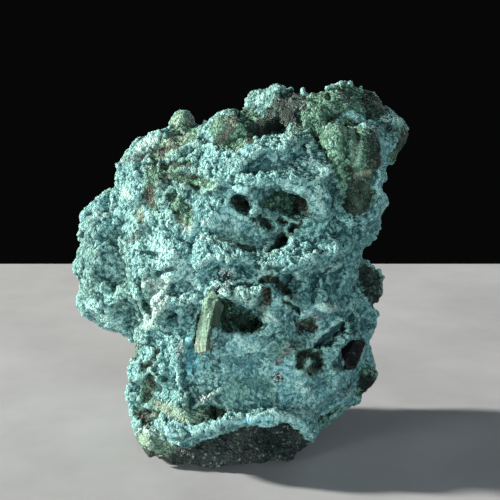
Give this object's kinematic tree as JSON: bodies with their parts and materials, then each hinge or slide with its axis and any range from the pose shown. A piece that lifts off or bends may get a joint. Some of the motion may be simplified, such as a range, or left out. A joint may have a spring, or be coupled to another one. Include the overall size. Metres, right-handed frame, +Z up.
{
  "type": "mineral specimen",
  "caption": "Upright hand specimen of a lumpy blue-green mineral crust over knobs and a broken foot of dark green malachite, for display on a flat surface.",
  "frame": {"origin": "middle of the box around the specimen, on the flat cut at its foot", "axes": "+Z up the specimen, from the broken malachite foot to the crown; the face with the large hollow looks along -Y; the round side lobe is at -X"},
  "size_m": [0.0816, 0.0574, 0.0884],
  "materials": {
    "blue_crust": "matte, granular, with dark green malachite on the knobs and the foot"
  },
  "bodies": {
    "root": {"specimen": "blue_crust"}
  },
  "joints": []
}
